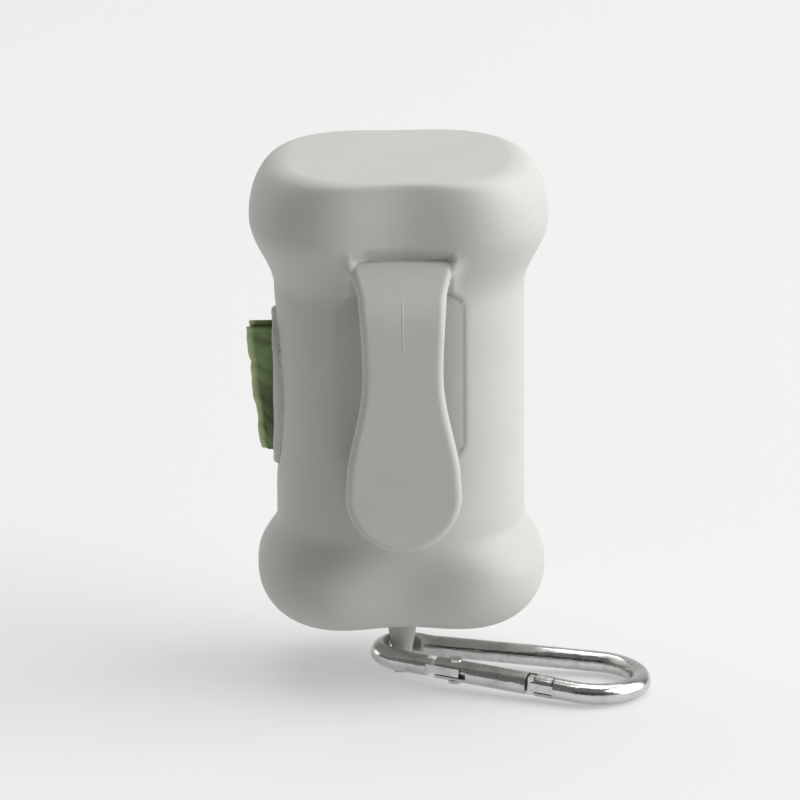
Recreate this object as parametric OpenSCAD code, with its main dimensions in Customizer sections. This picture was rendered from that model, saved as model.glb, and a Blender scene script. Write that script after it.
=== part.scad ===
// Bone-shaped silicone dispenser for rolls of dog waste bags, with a belt clip and a snap hook.
// Millimetres. +Z is up and -Y is the side of the belt clip. The origin is the middle of the flat
// foot of the hanging lug, on the surface that the dispenser stands on.

/* [Sleeve] */
// Height of the lowest point of the sleeve above the foot of the lug
sleeve_base = 11; // [10.4:0.1:12]
// Height of the sleeve
sleeve_h = 84.1; // [82:0.1:90]
// Width of the waist
waist_w = 44.3; // [44:0.1:48]
// Depth of the waist
waist_d = 41; // [40.4:0.1:43]
// Width across the upper knobs
top_knob_w = 52.9; // [50:0.1:58]
// Depth across the upper knobs
top_knob_d = 46.4; // [44:0.1:50]
// Width across the lower knobs
low_knob_w = 51.6; // [48:0.1:56]
// Depth across the lower knobs
low_knob_d = 45.4; // [43:0.1:49]
// Distance of the widest point of the upper knobs below the top face
top_knob_drop = 10.2; // [8.5:0.1:11]
// Distance of the widest point of the lower knobs above the lowest point
low_knob_rise = 9.2; // [8.5:0.1:11]
// Width of the flat top face
top_flat_w = 43.4; // [38:0.1:46]
// Width of the flat part of the underside
low_flat_w = 31; // [26:0.1:36]
// Length over which the upper knobs blend into the waist
top_blend = 14; // [11:0.5:16]
// Length over which the lower knobs blend into the waist
low_blend = 11.2; // [10:0.2:15]
// Depth of the dent between two knobs, front and back
knob_dent = 2.6; // [1.5:0.1:3]
// Depth of that dent at the edge of the top face
edge_dent = 0.6; // [0.3:0.1:2]
// Rise of the underside between the two lower knobs
end_dip = 0.9; // [0.2:0.1:1.4]

/* [Bag bore] */
// Diameter of the bore for the roll
bore_d = 34; // [33.8:0.1:34.4]
// Length of the bore between its two shoulders
bore_l = 64; // [63:0.5:66]
// Thickness of the wall behind the well at each end
end_wall = 4.2; // [3.4:0.1:5]
// Diameter of the well at each end
well_d = 24; // [20:0.5:27]

/* [Bag slot] */
// Height of the opening that the bags come out of
slot_l = 24.4; // [22:0.2:27]
// Width of that opening
slot_w = 10; // [9:0.2:11]
// Height of the raised oval around it
lip_l = 29; // [28.6:0.2:31]
// Width of the raised oval
lip_w = 19.6; // [18:0.2:21]
// Height of the oval above the side of the waist
lip_proud = 1; // [0.6:0.1:1.6]
// Height of the middle of the slot above the middle of the bore
slot_rise = 0.1; // [-1:0.1:2]

/* [Belt clip] */
// Width of the clip at its root
clip_root_w = 16.4; // [15.6:0.1:18]
// Width of the neck
clip_neck_w = 14; // [12.6:0.1:15]
// Width of the round end
clip_end_w = 20.3; // [18.4:0.1:20.8]
// Length from the crisp edge at the root to the tip
clip_l = 49.4; // [47:0.2:53]
// Distance of the crisp edge at the root below the top face
clip_drop = 14.7; // [13.6:0.1:15.4]
// Thickness of the clip
clip_t = 2.8; // [2.4:0.1:3.1]
// Gap between the clip and the waist
belt_gap = 4.4; // [4.3:0.1:5]
// How far the clip's face stands in front of the waist at the crisp edge
root_proud = 0.3; // [0.1:0.1:1]
// Height over which the clip slopes out from its root
slope_h = 10.5; // [9.5:0.1:11]
// How far the tip bends out
tip_flare = 0.9; // [0.3:0.1:1.6]
// Width of the recess behind the clip
recess_w = 21.4; // [20.9:0.1:22.4]
// Height of the recess
recess_h = 29.6; // [29:0.2:33]
// Depth of the recess at its middle
recess_depth = 1.5; // [1:0.1:1.8]

/* [Hanging lug] */
// Width of the lug, along its hole
lug_w = 3.3; // [3:0.1:3.4]
// Depth of the lug
lug_d = 10.2; // [9.4:0.1:10.4]
// Diameter of its hole
lug_hole_d = 6.6; // [6.4:0.1:6.8]
// Height of the hole's middle above the foot
lug_hole_z = 4.5; // [4.4:0.1:4.8]
// Radius of the two lower corners of the lug
lug_corner_r = 1.6; // [1.2:0.1:2.2]

/* [Bags] */
// Diameter of a new roll
roll_d = 31.8; // [28:0.1:31.9]
// Length of the roll
roll_l = 62; // [58:0.5:62.5]
// Outer diameter of the card core
core_d = 15; // [12:0.5:17]
// Wall of the card core
core_wall = 1; // [0.6:0.1:1.5]
// Thickness of the gathered film between the roll and the slot
film_t = 0.4; // [0.3:0.05:0.5]
// Thickness of the folded end outside the slot
lead_t = 1.6; // [1:0.1:2]
// Height of the folded end
lead_h = 22.8; // [18:0.2:23.4]
// How far the upper corner of the folded end stands out of the lip
lead_out = 4; // [2:0.1:8]
// How much less the lower corner stands out
lead_slant = 2.2; // [0:0.1:3]

/* [Snap hook] */
// Overall length of the snap hook
hook_l = 51.6; // [50:0.1:53]
// Diameter of its wire
wire_d = 3.8; // [3.6:0.05:4]
// Radius of the wide bend, to the middle of the wire
wide_r = 8.6; // [8.3:0.1:8.9]
// Radius of the narrow bend, to the middle of the wire
eye_r = 5.1; // [5:0.05:5.2]
// Distance of the back of the hook from the middle of the narrow bend
spine_offset = 4.3; // [4.1:0.1:4.5]
// Radius of the reverse bend between the back and the narrow bend
reverse_r = 8; // [6:0.5:9]
// How far the hook is turned toward the clip's side, in degrees
hook_yaw = 18; // [14:0.2:19]
// Distance of the middle of the narrow bend from the middle of the lug, along the lug's hole
eye_x = 1.2; // [1.1:0.05:1.25]
// Distance of the middle of the narrow bend in front of the lug's hole
eye_y = 4.4; // [4.3:0.05:4.45]
// Height of the narrow bend above the hole's middle, where it hangs in the hole
eye_lift = -0.35; // [-0.45:0.05:-0.25]

/* [Gate] */
// Diameter of the gate
gate_d = 4; // [3.8:0.05:4.2]
// Distance of the round shoulder at the hinge from the start of the straight
hinge_shoulder = 5.9; // [5.5:0.1:6.3]
// Distance of the rivet from the start of the straight
rivet_s = 11; // [10.8:0.1:11.2]
// Overhang of the fork behind the rivet
fork_back = 3.4; // [3.1:0.1:3.7]
// Distance of the bottom of the fork's slot from the rivet
fork_front = 2.7; // [2.6:0.05:3]
// Distance of the nose shoulder from the start of the straight
nose_shoulder = 30.2; // [29.9:0.1:30.5]
// Thickness of the flat tongue and the flat nose
tongue_t = 1.5; // [1.4:0.05:1.8]
// Width of the tongue
tongue_w = 3.2; // [3:0.05:3.4]
// How far the nose reaches past the hook's middle line, twice over
nose_w = 1.6; // [1.4:0.1:2]
// Thickness of the cross head
head_t = 1.1; // [0.9:0.05:1.2]
// How far the cross head reaches toward the open side, from the middle of the gate
head_out = 1.15; // [1:0.05:1.5]
// Length of the nose behind the cross head
nose_l = 3.8; // [3.6:0.1:4.3]
// Diameter of the rivet
rivet_d = 1.5; // [1.3:0.05:1.6]
// Diameter of the rivet's heads
rivet_head_d = 2.3; // [2.1:0.05:2.5]
// Thickness of the rivet's heads
rivet_head_t = 0.5; // [0.3:0.05:0.7]
// Diameter of the bore for the spring
spring_bore_d = 2.2; // [2:0.05:2.3]
// Length of the spring
spring_l = 5; // [4:0.2:6]
// Wire of the spring
spring_wire = 0.35; // [0.3:0.05:0.4]
// Length of the plunger
plunger_l = 2.4; // [2.2:0.1:2.8]

/* [Clearances] */
// Gap between parts that rest against each other
seat_gap = 0.3; // [0.2:0.05:0.35]
// Radial clearance of a turning fit
run_fit = 0.05; // [0.03:0.01:0.08]
// Gap on each side of the tongue, the nose and the cross head
slide_gap = 0.15; // [0.1:0.01:0.2]
// Travel kept free in front of the spring
spring_travel = 0.6; // [0.55:0.05:0.8]

/* [Hidden] */

silicone = [0.72, 0.72, 0.70];
film_green = [0.29, 0.36, 0.19];
steel = [0.78, 0.79, 0.80];
card = [0.66, 0.53, 0.38];

// Sleeve: heights and half sizes
sleeve_top = sleeve_base + sleeve_h;
top_knob_z = sleeve_top - top_knob_drop;
low_knob_z = sleeve_base + low_knob_rise;
bore_mid = sleeve_base + sleeve_h / 2;
bore_low = bore_mid - bore_l / 2;
waist_power = 2.25;    // squareness of the waist's plan
knob_power = 3.4;      // squareness of the plan at the knobs
end_arc = 75;          // degrees of the upper knob's arc before the flat face cuts it
top_arc_power = 0.9;
top_blend_power = 1.1;
low_blend_power = 1.35;
dent_width = 10;       // width of the dents, as the distance where they have faded
segs = 48;             // points around the sleeve
arc_steps = 5;         // rings on each rounded end
blend_steps = 6;       // rings on each blend

// Belt clip: places
clip_top = sleeve_top - clip_drop;
clip_tip = clip_top - clip_l;
clip_inner = waist_d / 2 + belt_gap;
clip_outer = clip_inner + clip_t;
end_r = clip_end_w / 2;
end_z = clip_tip + end_r;
neck_z = end_z + 22;
clip_steps = 10;
root_r = clip_t / 2;
split_z = clip_top - slope_h * 0.55;   // height on the clip's face where it starts to bend
root_c = clip_point(split_z, root_r);
recess_top = clip_top - 6.2;
recess_floor_r = waist_d / 2 - recess_depth;
recess_r = 3;

// Lug
lug_r = lug_w / 2;
lug_flare = 0.6;       // extra half width where the lug meets the sleeve
lug_top = sleeve_base + 0.4;
lug_flare_z = lug_top - 2.5;

// Slot and bags
slot_z = bore_mid + slot_rise;
lip_x = waist_w / 2 + lip_proud;
lip_edge_x = waist_w / 2 * pow(1 - pow(lip_w / waist_d, waist_power), 1 / waist_power) + lip_proud;
lip_bow = lip_x - lip_edge_x;
lip_r = (pow(lip_w / 2, 2) + pow(lip_bow, 2)) / (2 * lip_bow);
roll_low = bore_low + seat_gap;
film_r = roll_d / 2 + seat_gap + film_t / 2;
mouth = [-(bore_d / 2 - 0.6), -3.3];
web_out = [-(bore_d / 2 + 2.4), -1.9];
mouth_turn = atan2(-mouth[1], -mouth[0]);
leave_turn = mouth_turn + acos(min(1, film_r / norm(mouth)));
wrap_turn = 24;        // degrees that the web still lies on the roll
web_h = lead_h - 2;
lead_y = -1.5;
lead_in = -web_out[0] + seat_gap;
lead_step = 0.35;      // offset of the folds from each other

// Snap hook: the local frame has the narrow bend's middle at its origin, +X along the hook and
// +Y toward its back.
wire_r = wire_d / 2;
bend_gap = hook_l - wire_d - wide_r - eye_r;
near_slope = asin((wide_r - eye_r) / bend_gap);
back_slope = asin((wide_r - spine_offset) / bend_gap);
reverse_turn = asin((spine_offset + reverse_r) / (eye_r + reverse_r));
eye_end = back_slope + reverse_turn;
reverse_c = polar(eye_r + reverse_r, eye_end);
back_start = reverse_c + polar(reverse_r, back_slope - 90);
back_end = [bend_gap, 0] + polar(wide_r, back_slope + 90);
near_start = polar(eye_r, -90 - near_slope);
near_l = bend_gap * cos(near_slope);
eye_z = lug_hole_z + eye_lift;
hook_tilt = asin((eye_z - wire_r) / (bend_gap + wide_r));
seam = 0.1;            // how far a straight runs into a bend
seam_ease = 0.01;      // how much thinner the bends are, so that the straights cap them

// Gate: distances along the straight from its start
gate_back = rivet_s - fork_back;
gate_front = nose_shoulder - 2 * slide_gap;
fork_end = rivet_s + fork_front;
head_s = nose_shoulder - nose_l - head_t / 2;
head_seat = gate_d / 2 - 0.25;   // flat that each rivet head sits on, from the middle of the gate
notch_t = head_t + 4 * slide_gap;
gate_slot = tongue_t + 2 * slide_gap;
tongue_end = 1.25;     // flat end of the tongue, from the rivet
plunger_s = rivet_s + tongue_end + run_fit;
spring_s = plunger_s + plunger_l + spring_travel;

function polar(r, a) = [r * cos(a), r * sin(a)];
function mix(a, b, t) = a + (b - a) * t;
function blend(s, p) = pow(cos(90 * pow(min(max(s, 0), 1), p)), 2);

// One ring of the sleeve: [half width, half depth, height, dent, rise between knobs, squareness]
function knob_ring(w, d, z, share) =
    [mix(waist_w, w, share) / 2, mix(waist_d, d, share) / 2, z, knob_dent * share, 0,
     mix(waist_power, knob_power, share)];

function low_end_ring(a) =
    let (w = mix(low_flat_w, low_knob_w, sin(a)), inset = (low_knob_w - w) / 2)
    [w / 2, low_knob_d / 2 - inset, low_knob_z - low_knob_rise * cos(a),
     mix(edge_dent, knob_dent, sin(a)), end_dip * cos(a), knob_power];

function top_end_ring(a) =
    let (share = (1 - pow(cos(a), top_arc_power)) / (1 - pow(cos(end_arc), top_arc_power)),
         inset = (top_knob_w - top_flat_w) / 2 * share)
    [top_knob_w / 2 - inset, top_knob_d / 2 - inset * 0.9,
     top_knob_z + top_knob_drop * sin(a) / sin(end_arc), mix(knob_dent, edge_dent, share), 0, knob_power];

function shrunk(ring, k) = [ring[0] * k, ring[1] * k, ring[2], ring[3] * k, ring[4], ring[5]];

sleeve_rings = concat(
    [shrunk(low_end_ring(0), 0.4), shrunk(low_end_ring(0), 0.75)],
    [for (i = [0:arc_steps]) low_end_ring(90 * i / arc_steps)],
    [for (i = [1:blend_steps]) let (s = i / blend_steps)
        knob_ring(low_knob_w, low_knob_d, low_knob_z + low_blend * s, blend(s, low_blend_power))],
    [for (i = [blend_steps:-1:1]) let (s = i / blend_steps)
        knob_ring(top_knob_w, top_knob_d, top_knob_z - top_blend * s, blend(s, top_blend_power))],
    [for (i = [0:arc_steps]) top_end_ring(end_arc * i / arc_steps)]);

function ring_point(ring, t) =
    let (reach = pow(pow(abs(cos(t)) / ring[0], ring[5]) + pow(abs(sin(t)) / ring[1], ring[5]), -1 / ring[5]),
         x = reach * cos(t),
         hollow = exp(-pow(x / dent_width, 2)))
    [x, reach * sin(t) * (1 - ring[3] / ring[1] * hollow), ring[2] + ring[4] * hollow];

// A closed skin through rings of points, with a middle point at each end.
module skin(rings, low_point, top_point) {
    n = len(rings);
    points = concat([for (ring = rings) for (i = [0:segs - 1]) ring_point(ring, 360 * i / segs)],
                    [low_point, top_point]);
    sides = [for (j = [0:n - 2]) for (i = [0:segs - 1])
        let (k = (i + 1) % segs, a = j * segs + i, b = j * segs + k)
        each [[a, a + segs, b], [b, a + segs, b + segs]]];
    low_cap = [for (i = [0:segs - 1]) [i, (i + 1) % segs, n * segs]];
    top_cap = [for (i = [0:segs - 1]) [(n - 1) * segs + (i + 1) % segs, (n - 1) * segs + i, n * segs + 1]];
    polyhedron(concat(points), concat(sides, low_cap, top_cap));
}

// A bar with round ends, drawn upright and as thick as h.
module stadium(l, w, h) {
    linear_extrude(h) union() {
        square([w, l - w], center = true);
        for (side = [-1, 1]) translate([0, side * (l - w) / 2]) circle(d = w, $fn = 48);
    }
}

// A rectangle with rounded corners.
module round_rect(w, h, r) {
    square([w - 2 * r, h], center = true);
    square([w, h - 2 * r], center = true);
    for (x = [-1, 1]) for (y = [-1, 1])
        translate([x * (w / 2 - r), y * (h / 2 - r)]) circle(r, $fn = 32);
}

module bag_bore() {
    translate([0, 0, bore_low]) cylinder(d = bore_d, h = bore_l, $fn = 96);
    translate([0, 0, sleeve_base + end_dip + end_wall])
        cylinder(d = well_d, h = sleeve_h - end_dip - 2 * end_wall, $fn = 64);
}

module sleeve() {
    color(silicone) difference() {
        union() {
            skin(sleeve_rings, [0, 0, sleeve_base + end_dip], [0, 0, sleeve_top]);
            slot_lip();
            clip_shoulder();
            translate([-lug_r - lug_flare - 0.5, -lug_d / 2 - 0.5, lug_top])
                cube([lug_w + 2 * lug_flare + 1, lug_d + 1, 3]);
        }
        bag_bore();
        translate([-lip_x - 1, 0, slot_z]) rotate([90, 0, 90]) stadium(slot_l, slot_w, lip_x + 1);
        clip_recess();
        root_bar(root_r + run_fit, clip_root_w + 1);
    }
}

// The raised oval around the slot: an oval post, cut by an upright cylinder that follows the waist.
module slot_lip() {
    intersection() {
        translate([-lip_x - 1, 0, slot_z]) rotate([90, 0, 90]) linear_extrude(8)
            polygon([for (a = [0:7.5:359]) [lip_w / 2 * cos(a), lip_l / 2 * sin(a)]]);
        translate([lip_r - lip_x, 0, slot_z - lip_l]) cylinder(r = lip_r, h = 2 * lip_l, $fn = 128);
    }
}

// The part of the clip's root that stays with the sleeve.
module clip_shoulder() {
    face = [for (i = [0:4]) let (p = clip_point(mix(clip_top, split_z, i / 4))) [-p[0], p[1]]];
    back = clip_point(split_z, clip_t);
    rotate([90, 0, 90]) translate([0, 0, -clip_root_w / 2]) linear_extrude(clip_root_w)
        polygon(concat(face, [[-back[0], back[1]], [-bore_d / 2 - 1, back[1]], [-bore_d / 2 - 1, clip_top]]));
}

module clip_recess() {
    difference() {
        translate([0, 0, recess_top - recess_h / 2]) rotate([90, 0, 0])
            linear_extrude(waist_d) round_rect(recess_w, recess_h, recess_r);
        translate([0, 0, recess_top - recess_h - 1])
            cylinder(r = recess_floor_r, h = recess_h + 2, $fn = 128);
        translate([-clip_root_w / 2, -waist_d, recess_top - recess_r]) cube([clip_root_w, waist_d, recess_h]);
    }
}

// The round root of the clip, which its bending turns about.
module root_bar(r, l) {
    translate([-l / 2, -root_c[0], root_c[1]]) rotate([0, 90, 0]) cylinder(r = r, h = l, $fn = 48);
}

module hang_lug() {
    color(silicone) difference() {
        union() {
            intersection() {
                stadium(lug_d, lug_w, lug_top);
                rotate([90, 0, 90]) linear_extrude(2 * lug_w, center = true) {
                    translate([0, lug_top / 2 + lug_corner_r / 2])
                        square([lug_d + 1, lug_top - lug_corner_r], center = true);
                    for (side = [-1, 1]) translate([side * (lug_d / 2 - lug_corner_r), lug_corner_r])
                        circle(lug_corner_r, $fn = 32);
                    translate([0, lug_corner_r / 2])
                        square([lug_d - 2 * lug_corner_r, lug_corner_r], center = true);
                }
            }
            translate([0, 0, lug_flare_z])
                stadium(lug_d + 2 * lug_flare, lug_w + 2 * lug_flare, lug_top - lug_flare_z);
        }
        translate([-lug_w, 0, lug_hole_z]) rotate([0, 90, 0])
            cylinder(d = lug_hole_d, h = 2 * lug_w, $fn = 64);
    }
}

// Half width of the clip at height z: a waisted strap that ends in a round spoon.
function clip_half(z) =
    let (low = end_z + 3, low_half = sqrt(pow(end_r, 2) - 9))
    z >= neck_z ? mix(clip_neck_w, clip_root_w, pow((z - neck_z) / (clip_top - neck_z), 1.6)) / 2
                : mix(low_half, clip_neck_w / 2, 1 - blend((z - low) / (neck_z - low), 0.95));

// Distance of the clip's outer face in front of the sleeve's middle at height z.
function clip_face(z) =
    let (bow_z = end_z + 6, dip_z = clip_tip + 8, dip = 0.8)
    z > clip_top - slope_h ? mix(waist_d / 2 + root_proud, clip_outer, sin(90 * (clip_top - z) / slope_h))
    : z > bow_z ? clip_outer
    : z > dip_z ? clip_outer - dip + dip * blend((bow_z - z) / (bow_z - dip_z), 1)
    : clip_outer - dip + tip_flare * pow((dip_z - z) / 8, 2);

// The point [distance in front, height] at a depth under the clip's outer face at height z.
function clip_point(z, depth = 0) =
    let (run = clip_face(z - 0.05) - clip_face(z + 0.05), n = [0.1, run] / norm([0.1, run]))
    [clip_face(z), z] - depth * n;

module clip_front() {
    low = end_z + 3;
    half_turn = asin(3 / end_r);
    side = [for (i = [0:2 * clip_steps])
        let (z = mix(clip_top, low, i / (2 * clip_steps))) [clip_half(z), z]];
    end = [for (i = [1:2 * clip_steps - 1])
        [0, end_z] + polar(end_r, half_turn - (180 + 2 * half_turn) * i / (2 * clip_steps))];
    other = [for (i = [2 * clip_steps:-1:0]) [-side[i][0], side[i][1]]];
    polygon(concat(side, end, other));
}

module clip_side() {
    heights = concat([for (i = [0:clip_steps]) mix(split_z, clip_top - slope_h, i / clip_steps)],
                     [for (i = [0:clip_steps]) mix(end_z + 6, clip_tip - 0.1, i / clip_steps)]);
    face = [for (z = heights) clip_point(z)];
    back = [for (i = [len(heights) - 1:-1:0]) clip_point(heights[i], clip_t)];
    polygon([for (p = concat(face, back)) [-p[0], p[1]]]);
}

module belt_clip() {
    color(silicone) union() {
        intersection() {
            rotate([90, 0, 0]) translate([0, 0, waist_d / 2]) linear_extrude(waist_d / 2) clip_front();
            rotate([90, 0, 90]) translate([0, 0, -clip_end_w]) linear_extrude(2 * clip_end_w) clip_side();
        }
        root_bar(root_r, clip_root_w);
    }
}

// A strip of film of thickness t along the points of a path, seen from above.
module strip(path, t, h) {
    n = len(path);
    function side_way(i) =
        let (d = path[min(i + 1, n - 1)] - path[max(i - 1, 0)]) [-d[1], d[0]] / norm(d) * t / 2;
    linear_extrude(h) polygon(concat([for (i = [0:n - 1]) path[i] + side_way(i)],
                                     [for (i = [n - 1:-1:0]) path[i] - side_way(i)]));
}

module film_web() {
    turns = [for (i = [0:6]) 180 + leave_turn + wrap_turn * (1 - i / 6)];
    color(film_green) translate([0, 0, slot_z - web_h / 2])
        strip(concat([for (a = turns) polar(film_r, a)], [mouth, web_out]), film_t, web_h);
}

module lead_bag() {
    out = -lip_x - lead_out;
    color(film_green) intersection() {
        translate([0, 0, slot_z - lead_h / 2]) union() {
            strip([[-lead_in, lead_y], [-lip_x, lead_y], [out, lead_y - lead_step]], lead_t / 2, lead_h);
            strip([[-lead_in, lead_y - lead_t / 4], [-lip_x, lead_y - lead_t / 4],
                   [out + 1, lead_y - lead_t / 4 - 2 * lead_step]], lead_t / 2, lead_h - 1);
        }
        translate([0, 5, slot_z]) rotate([90, 0, 0]) linear_extrude(10)
            polygon([[0, -lead_h / 2], [0, lead_h / 2], [out, lead_h / 2], [out + lead_slant, -lead_h / 2]]);
    }
}

module bag_roll() {
    color(film_green) translate([0, 0, roll_low]) difference() {
        cylinder(d = roll_d, h = roll_l, $fn = 96);
        translate([0, 0, -1]) cylinder(d = core_d + 2 * run_fit, h = roll_l + 2, $fn = 64);
    }
}

module roll_core() {
    color(card) translate([0, 0, roll_low]) difference() {
        cylinder(d = core_d, h = roll_l, $fn = 64);
        translate([0, 0, -1]) cylinder(d = core_d - 2 * core_wall, h = roll_l + 2, $fn = 64);
    }
}

// Puts the hook's local frame in its place: threaded through the lug, its wide bend on the floor.
module on_hook() {
    translate([eye_x, -eye_y, eye_z]) rotate([0, hook_tilt, -hook_yaw]) children();
}

// Puts +X along the straight that the gate closes, from its start at the narrow bend.
module on_straight(s) {
    on_hook() translate([near_start[0], near_start[1], 0]) rotate([0, 0, -near_slope])
        translate([s, 0, 0]) children();
}

module rod(d, l) { rotate([0, 90, 0]) cylinder(d = d, h = l, $fn = 48); }

module bend(c, r, a0, a1) {
    translate([c[0], c[1], 0]) rotate([0, 0, a0])
        rotate_extrude(angle = a1 - a0, $fn = 96) translate([r, 0]) circle(wire_r - seam_ease, $fn = 48);
}

// A straight of the wire, which runs a little way into the bends at its ends.
module straight(p, a, l, low = seam, high = seam) {
    translate([p[0], p[1], 0]) rotate([0, 0, a]) translate([-low, 0, 0]) rod(wire_d, l + low + high);
}

module hook_wire() {
    color(steel) union() {
        on_hook() {
            bend([0, 0], eye_r, eye_end, 270 - near_slope);
            straight(polar(eye_r, eye_end), eye_end - 90, 0);
            bend(reverse_c, reverse_r, 180 + eye_end, 270 + back_slope);
            straight(back_start, back_slope, norm(back_end - back_start));
            bend([bend_gap, 0], wide_r, -90 - near_slope, 90 + back_slope);
            straight(near_start, -near_slope, hinge_shoulder, high = 0);
            straight(near_start + polar(nose_shoulder, -near_slope), -near_slope,
                     near_l - nose_shoulder, low = 0);
        }
        on_straight(0) {
            difference() {
                translate([hinge_shoulder - seam, -tongue_w / 2, -tongue_t / 2])
                    cube([rivet_s - hinge_shoulder + tongue_end + seam, tongue_w, tongue_t]);
                translate([rivet_s, 0, -tongue_t])
                    cylinder(d = rivet_d + 2 * run_fit, h = 2 * tongue_t, $fn = 32);
            }
            translate([head_s, -tongue_w / 2, -tongue_t / 2])
                cube([nose_shoulder - head_s + seam, nose_w / 2 + tongue_w / 2, tongue_t]);
            translate([head_s - head_t / 2, -head_out, -tongue_w / 2])
                cube([head_t, head_out + nose_w / 2, tongue_w]);
        }
    }
}

module gate() {
    color(steel) on_straight(0) difference() {
        translate([gate_back, 0, 0]) rod(gate_d, gate_front - gate_back);
        translate([gate_back - 1, -gate_d, -gate_slot / 2])
            cube([fork_end - gate_back + 1, 2 * gate_d, gate_slot]);
        translate([head_s - notch_t / 2, -gate_d, -gate_slot / 2])
            cube([gate_front - head_s + notch_t, gate_d + nose_w / 2 + slide_gap, gate_slot]);
        translate([head_s - notch_t / 2, -gate_d, -gate_d])
            cube([notch_t, gate_d + nose_w / 2 + slide_gap, 2 * gate_d]);
        translate([rivet_s, 0, -gate_d]) cylinder(d = rivet_d + 2 * run_fit, h = 2 * gate_d, $fn = 32);
        for (side = [-1, 1])
            translate([rivet_s, 0, side * (head_seat + gate_d / 2) - gate_d / 2])
                cylinder(d = rivet_head_d + 2 * run_fit, h = gate_d, $fn = 32);
        translate([plunger_s, 0, 0]) rod(spring_bore_d, plunger_l + spring_travel + spring_l + seat_gap);
    }
}

module hinge_rivet() {
    color(steel) on_straight(rivet_s) {
        translate([0, 0, -head_seat]) cylinder(d = rivet_d, h = 2 * head_seat, $fn = 32);
        for (side = [-1, 1])
            translate([0, 0, side * (head_seat + rivet_head_t / 2) - rivet_head_t / 2])
                cylinder(d = rivet_head_d, h = rivet_head_t, $fn = 32);
    }
}

module gate_spring() {
    color(steel) on_straight(spring_s) difference() {
        rod(spring_bore_d - 2 * run_fit, spring_l);
        translate([-1, 0, 0]) rod(spring_bore_d - 2 * run_fit - 2 * spring_wire, spring_l + 2);
    }
}

module spring_plunger() {
    color(steel) on_straight(plunger_s) rod(spring_bore_d - 2 * run_fit, plunger_l);
}

sleeve();
hang_lug();
belt_clip();
film_web();
lead_bag();
bag_roll();
roll_core();
hook_wire();
gate();
hinge_rivet();
gate_spring();
spring_plunger();
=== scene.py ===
import math
import bpy
import numpy as np
from mathutils import Matrix, Vector


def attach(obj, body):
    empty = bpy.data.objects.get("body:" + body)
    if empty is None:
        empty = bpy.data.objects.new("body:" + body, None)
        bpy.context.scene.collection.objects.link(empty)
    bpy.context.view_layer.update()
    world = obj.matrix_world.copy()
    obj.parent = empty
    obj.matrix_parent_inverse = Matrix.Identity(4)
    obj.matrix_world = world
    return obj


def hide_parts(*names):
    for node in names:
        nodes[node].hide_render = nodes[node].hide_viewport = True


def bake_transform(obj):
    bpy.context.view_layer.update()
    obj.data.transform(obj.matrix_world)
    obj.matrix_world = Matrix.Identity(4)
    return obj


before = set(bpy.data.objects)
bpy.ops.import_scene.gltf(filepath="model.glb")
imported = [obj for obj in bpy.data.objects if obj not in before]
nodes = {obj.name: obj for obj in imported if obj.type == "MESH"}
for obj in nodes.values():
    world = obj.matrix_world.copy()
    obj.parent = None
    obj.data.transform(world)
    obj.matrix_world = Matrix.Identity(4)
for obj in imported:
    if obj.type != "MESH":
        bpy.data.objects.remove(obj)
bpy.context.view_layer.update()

print("frame loaded:", len(nodes), "nodes")


# Helpers for shapes.

def mix(a, b, t):
    return a + (b - a) * t


def fade(s, power=1.0):
    # cosine squared: 1 at s = 0, 0 at s = 1, flat at both ends
    return np.cos(np.pi / 2 * np.clip(s, 0, 1) ** power) ** 2


def smoothStep(low, high, v):
    t = np.clip((v - low) / (high - low), 0, 1)
    return t * t * (3 - 2 * t)


def softMin(a, b, width):
    # the lesser of two fields, with a round fillet where they are within the width of each other
    h = np.maximum(width - np.abs(a - b), 0) / width
    return np.minimum(a, b) - h * h * width / 4


def softMax(a, b, width):
    return -softMin(-a, -b, width)


def roundCorner(a, b, r):
    # distance outside a corner of radius r, from the distances outside its two sides moved in by r
    return np.hypot(np.maximum(a, 0), np.maximum(b, 0)) + np.minimum(np.maximum(a, b), 0) - r


def addObject(name, points, faces, normals=None):
    # points in millimetres become a smooth mesh object at the origin, in metres
    mesh = bpy.data.meshes.new(name)
    mesh.from_pydata((np.asarray(points) * 0.001).tolist(), [], np.asarray(faces).tolist())
    mesh.validate()
    mesh.polygons.foreach_set("use_smooth", np.ones(len(mesh.polygons), bool))
    mesh.update()
    if normals is not None:
        mesh.normals_split_custom_set_from_vertices(normals.tolist())
    obj = bpy.data.objects.new(name, mesh)
    bpy.context.scene.collection.objects.link(obj)
    return obj


def slope(field, points, step=0.02):
    # the field's gradient, from its values a small step to each side of every point
    parts = []
    for axis in range(3):
        shift = np.zeros(3)
        shift[axis] = step
        ahead = field(*(points + shift).T)
        behind = field(*(points - shift).T)
        parts.append((ahead - behind) / (2 * step))
    return np.stack(parts, axis=1)


skinFit = {"rounds": 5, "reach": 0.6, "leastSlope": 0.05}
farOff = 9  # millimetres, the value of a field where its form plays no part


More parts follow.
